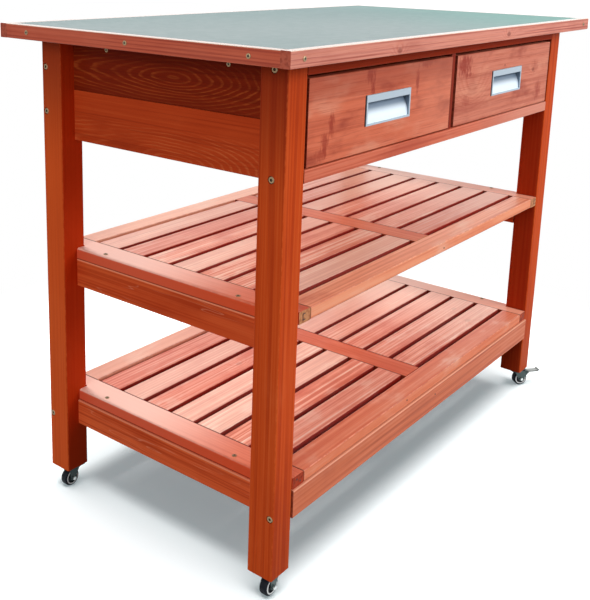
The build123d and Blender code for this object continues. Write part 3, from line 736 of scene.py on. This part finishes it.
# small screws; each step of a head: inset as a share of its radius, rise as a share of its height
smallScrews = {
    "radius": 0.0038, "height": 0.0009, "sides": 18, "steps": ((0.22, 0.3), (0.36, 0.0), (0.05, -1.1)),
    "socket": 0.0021, "socketSides": 6, "socketTaper": 0.9, "socketDepth": 0.0004, "socketLift": 0.0001,
    "stripY": (-0.233, 0.002, 0.233), "stripX": 0.535, "stripDrop": 0.012,
    "panelY": (-0.131, 0.131), "panelDrop": 0.038, "boardX": 0.472, "boardY": (-0.150, 0.150),
}


# places of the small screws, and the way each one faces
def screwSpots(look):
    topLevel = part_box("top_sheet")[1].z
    stripLevel = topLevel - look["stripDrop"]
    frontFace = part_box("top_strip_front")[0].y
    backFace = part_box("top_strip_back")[1].y
    for sideX in (-1, 1):
        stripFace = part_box("top_strip_right")[1].x * sideX
        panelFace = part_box("end_panel_right")[1].x * sideX
        for y in look["stripY"]:
            yield (stripFace, y, stripLevel), (sideX, 0, 0)
        for y in look["panelY"]:
            yield (panelFace, y, topLevel - look["panelDrop"]), (sideX, 0, 0)
        for shelf in shelves:
            for y in look["boardY"]:
                yield (sideX * look["boardX"], y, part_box(shelf + "_slats")[1].z), (0, 0, 1)
        yield (sideX * look["stripX"], frontFace, stripLevel), (0, -1, 0)
        yield (sideX * look["stripX"], backFace, stripLevel), (0, 1, 0)


# a flat-headed screw with a sunk socket, added to a mesh that is being built
def addScrew(mesh, place, facing, look):
    before = set(mesh.verts)
    made = bmesh.ops.create_circle(mesh, cap_ends=True, segments=look["sides"], radius=look["radius"])
    top = bmesh.ops.extrude_face_region(mesh, geom=[made["verts"][0].link_faces[0]])
    lifted = [part for part in top["geom"] if isinstance(part, bmesh.types.BMVert)]
    crown = next(part for part in top["geom"] if isinstance(part, bmesh.types.BMFace))
    bmesh.ops.translate(mesh, verts=lifted, vec=(0, 0, look["height"]))
    for inset, rise in look["steps"]:  # chamfer, flat rim, wall of the socket
        bmesh.ops.inset_region(mesh, faces=[crown], thickness=look["radius"] * inset,
                               depth=look["height"] * rise)
    added = [v for v in mesh.verts if v not in before]
    bmesh.ops.transform(mesh, matrix=standing(place, facing), verts=added)


# a dark plug in each socket, standing in for the shade inside it
def addSocket(mesh, place, facing, look):
    made = bmesh.ops.create_cone(mesh, cap_ends=True, segments=look["socketSides"], radius1=look["socket"],
                                 radius2=look["socket"] * look["socketTaper"], depth=look["socketDepth"])
    lift = Vector(facing) * (look["height"] + look["socketLift"])
    bmesh.ops.transform(mesh, matrix=standing(Vector(place) + lift, facing), verts=made["verts"])


heads = bmesh.new()
sockets = bmesh.new()
screwPlaces = list(screwSpots(smallScrews))
for place, facing in screwPlaces:
    addScrew(heads, place, facing, smallScrews)
    addSocket(sockets, place, facing, smallScrews)
newPiece("small_screws", heads, yellowZinc, "frame")
newPiece("screw_socket_shade", sockets, shadePlug, "frame")
print("small screws set:", len(screwPlaces))

# nail heads in the boards' front edges: nodes that carry them, with places along them and heights
nailHeads = {"radius": 0.0019, "height": 0.0005, "sides": 14, "taper": 0.8, "spots": (
    ("upper_edge_boards", 0.009, 0.460), ("lower_edge_boards", -0.099, 0.189),
    ("lower_front_rail", 0.012, 0.160),
    ("lower_end_boards", -0.452, 0.190), ("lower_end_boards", -0.443, 0.184),
    ("lower_end_boards", 0.452, 0.190), ("lower_end_boards", 0.443, 0.184))}
nails = bmesh.new()
for name, x, z in nailHeads["spots"]:
    made = bmesh.ops.create_cone(
        nails, cap_ends=True, segments=nailHeads["sides"], radius1=nailHeads["radius"],
        radius2=nailHeads["radius"] * nailHeads["taper"], depth=nailHeads["height"] * 2)
    place = Vector((x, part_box(name)[0].y, z))
    bmesh.ops.transform(nails, matrix=standing(place, (0, -1, 0)), verts=made["verts"])
newPiece("nail_heads", nails, ironNail, "frame")

# a staple in the front end of each upper end board: crown upright, two legs lying level
staple = {"wire": 0.0013, "crown": 0.011, "leg": 0.006, "x": 0.4535, "z": 0.462, "rounding": 0.0002}
wires = bmesh.new()
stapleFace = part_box("upper_end_boards")[0].y
halfWire = staple["wire"] / 2
halfCrown = staple["crown"] / 2
halfLeg = staple["leg"] / 2
stapleBars = (                         # middle and half size of each bar
    ((0, 0, 0), (halfWire, halfWire, halfCrown)),
    ((halfLeg, 0, halfCrown - halfWire), (halfLeg, halfWire, halfWire)),
    ((halfLeg, 0, halfWire - halfCrown), (halfLeg, halfWire, halfWire)))
for sideX in (-1, 1):
    crownPlace = Vector((sideX * staple["x"], stapleFace, staple["z"]))
    for offset, halfSize in stapleBars:
        made = bmesh.ops.create_cube(wires, size=2.0)
        bmesh.ops.scale(wires, vec=halfSize, verts=made["verts"])
        bmesh.ops.translate(wires, vec=crownPlace + Vector(offset), verts=made["verts"])
bmesh.ops.bevel(wires, geom=wires.edges[:], offset=staple["rounding"], affect="EDGES", segments=2,
                profile=0.5, material=-1)
newPiece("board_staples", wires, ironNail, "frame")
print("nails and staples set")

# pale ring and axle nuts on every wheel
wheelTrim = {"ringInner": 0.0108, "ringOuter": 0.0131, "ringProud": 0.0004, "ringSteps": 48, "weld": 1e-6,
             "nutRadius": 0.0036, "nutHeight": 0.003, "nutSides": 6, "nutSunk": 0.0003, "nutRounding": 0.0003}


def addRing(mesh, turned, look):
    before = set(mesh.verts)
    inner, outer, proud = look["ringInner"], look["ringOuter"], look["ringProud"]
    outline = (inner, 0, 0), (inner, 0, proud), (outer, 0, proud), (outer, 0, 0)
    profile = [mesh.verts.new(spot) for spot in outline]
    edges = [mesh.edges.new(pair) for pair in zip(profile, profile[1:] + profile[:1])]
    bmesh.ops.spin(mesh, geom=profile + edges, cent=(0, 0, 0), axis=(0, 0, 1), angle=math.tau,
                   steps=look["ringSteps"], use_merge=True)
    bmesh.ops.transform(mesh, matrix=turned, verts=[v for v in mesh.verts if v not in before])


def addNut(mesh, turned, look):
    made = bmesh.ops.create_cone(mesh, cap_ends=True, segments=look["nutSides"], radius1=look["nutRadius"],
                                 radius2=look["nutRadius"], depth=look["nutHeight"])
    bmesh.ops.transform(mesh, matrix=turned, verts=made["verts"])


axles = {joint["child"]: joint for joint in frame["joints"]}
for corner in corners:
    joint = axles["wheel_" + corner]
    centre = Vector(joint["pos_m"])
    axis = Vector(joint["axis"]).normalized()
    hubHalf = max((v.co - centre).dot(axis) for v in cadNodes["hub_" + corner].data.vertices)
    forkHalf = max((v.co - centre).dot(axis) for v in cadNodes["fork_" + corner].data.vertices)
    rings = bmesh.new()
    nuts = bmesh.new()
    for outward in (-axis, axis):
        addRing(rings, standing(centre + outward * hubHalf, outward), wheelTrim)
        addNut(nuts, standing(centre + outward * (forkHalf - wheelTrim["nutSunk"]), outward), wheelTrim)
    bmesh.ops.remove_doubles(rings, verts=rings.verts, dist=wheelTrim["weld"])
    bmesh.ops.recalc_face_normals(rings, faces=rings.faces)
    bmesh.ops.bevel(nuts, geom=nuts.edges[:], offset=wheelTrim["nutRounding"], affect="EDGES", segments=2,
                    profile=0.5, material=-1)
    newPiece("wheel_ring_" + corner, rings, whiteRing, "wheel_" + corner)
    newPiece("axle_nuts_" + corner, nuts, brightZinc, "caster_" + corner)
print("wheels trimmed")


# 1 for what the eye sees, straight, mirrored or through glass, and 0 for light that falls on the cart
def seenRays(start):
    rays = start.add("LightPath")
    return start.maths("MINIMUM", rays + rays.sibling(3) + rays.sibling(6), 1.0)


# white floor that keeps the soft shadow under the cart and turns plain white further out
floorLook = {"size": 14.0, "bounce": (0.14, 0.14, 0.14, 1.0), "shown": (0.8, 0.82, 0.82, 1.0),
             "lift": (0.2, 0.25, 0.265, 1.0), "near": 0.75, "far": 1.15}
white = (1.0, 1.0, 1.0, 1.0)


def floorPaper(look):
    material, start = newTree("floorPaper")
    place = start.add("TexCoord", out=3)
    away = start.add("VectorMath", {"operation": "LENGTH"}, {0: place}, out=1)
    seen = seenRays(start)
    matt = start.add("BsdfDiffuse", None, {"Color": mixColour(look["bounce"], look["shown"], seen)})
    glow = start.add("Emission", None, {"Color": look["lift"], "Strength": seen})
    paper = start.add("AddShader", None, {0: matt, 1: glow})
    plain = start.add("Emission", None, {"Color": white, "Strength": 1.0})
    outer = smooth(away, look["near"], look["far"]) * seen
    surface = start.add("MixShader", None, {0: outer, 1: paper, 2: plain})
    start.add("OutputMaterial", None, {"Surface": surface})
    return material


ground = bmesh.new()
bmesh.ops.create_grid(ground, x_segments=1, y_segments=1, size=floorLook["size"])
floorData = bpy.data.meshes.new("floor")
ground.to_mesh(floorData)
ground.free()
floorData.materials.append(floorPaper(floorLook))
floor = bpy.data.objects.new("floor", floorData)
scene.collection.objects.link(floor)

# studio: white surroundings for the eye and for reflections, softer light on the cart
studio = {"sky": 0.25, "seen": 1.2}
world = bpy.data.worlds.new("studio")
scene.world = world
world.use_nodes = True
world.node_tree.nodes.clear()
start = Wire(world.node_tree)
brightness = seenRays(start) * (studio["seen"] - studio["sky"]) + studio["sky"]
background = start.add("Background", None, {"Color": white, "Strength": brightness})
start.add("OutputWorld", None, {"Surface": background})

# the overhead lamp lights the floor alone, so that one soft shadow lies under the cart
# the others light the cart alone, and the back lamp makes no glare on varnish and sheet
lamps = {
    "overhead": {"place": (0, -0.15, 4.0), "aim": (0, -0.15, 0), "size": 4.0, "power": 440,
                 "floor": "INCLUDE", "glare": True},
    "front": {"place": (0.9, -3.3, 2.0), "aim": (0, 0, 0.5), "size": 2.0, "power": 102,
              "floor": "EXCLUDE", "glare": True},
    "back": {"place": (0.7, 3.6, 2.0), "aim": (0, 0, 0.4), "size": 2.0, "power": 190,
             "floor": "EXCLUDE", "glare": False},
    "left": {"place": (-3.4, -0.6, 1.7), "aim": (0, 0, 0.5), "size": 1.8, "power": 49,
             "floor": "EXCLUDE", "glare": True},
}
for name, look in lamps.items():
    light = bpy.data.lights.new(name, "AREA")
    light.shape = "DISK"
    light.size = look["size"]
    light.energy = look["power"]
    lamp = bpy.data.objects.new(name, light)
    lamp.location = look["place"]
    lamp.rotation_euler = (Vector(look["aim"]) - Vector(look["place"])).to_track_quat("-Z", "Y").to_euler()
    lamp.visible_glossy = look["glare"]
    reach = bpy.data.collections.new(name + "Reach")
    reach.objects.link(floor)
    reach.collection_objects[0].light_linking.link_state = look["floor"]
    lamp.light_linking.receiver_collection = reach
    scene.collection.objects.link(lamp)

# the photograph's viewpoint; lens and shift are worked out from its frame in pixels
view = {"place": (-1.5194, -0.9824, 0.9867), "yaw": 0.8889, "pitch": -0.2212, "roll": 0.0211, "focal": 910.01,
        "centre": (232.0, 162.0), "frame": (590.0, 600.0), "sensor": 36.0}
level = math.cos(view["pitch"])
forward = Vector((math.sin(view["yaw"]) * level, math.cos(view["yaw"]) * level, math.sin(view["pitch"])))
right = Vector((math.cos(view["yaw"]), -math.sin(view["yaw"]), 0.0))
up = right.cross(forward)
rolledRight = right * math.cos(view["roll"]) + up * math.sin(view["roll"])
rolledUp = up * math.cos(view["roll"]) - right * math.sin(view["roll"])
longSide = max(view["frame"])
cameraData = bpy.data.cameras.new("photoView")
cameraData.sensor_width = view["sensor"]
cameraData.lens = view["focal"] / longSide * view["sensor"]
cameraData.shift_x = (view["frame"][0] / 2 - view["centre"][0]) / longSide
cameraData.shift_y = (view["centre"][1] - view["frame"][1] / 2) / longSide
photoView = bpy.data.objects.new("photoView", cameraData)
turn = Matrix((rolledRight, rolledUp, -forward)).transposed().to_4x4()
photoView.matrix_world = Matrix.Translation(view["place"]) @ turn
scene.collection.objects.link(photoView)
scene.camera = photoView
print("studio ready")
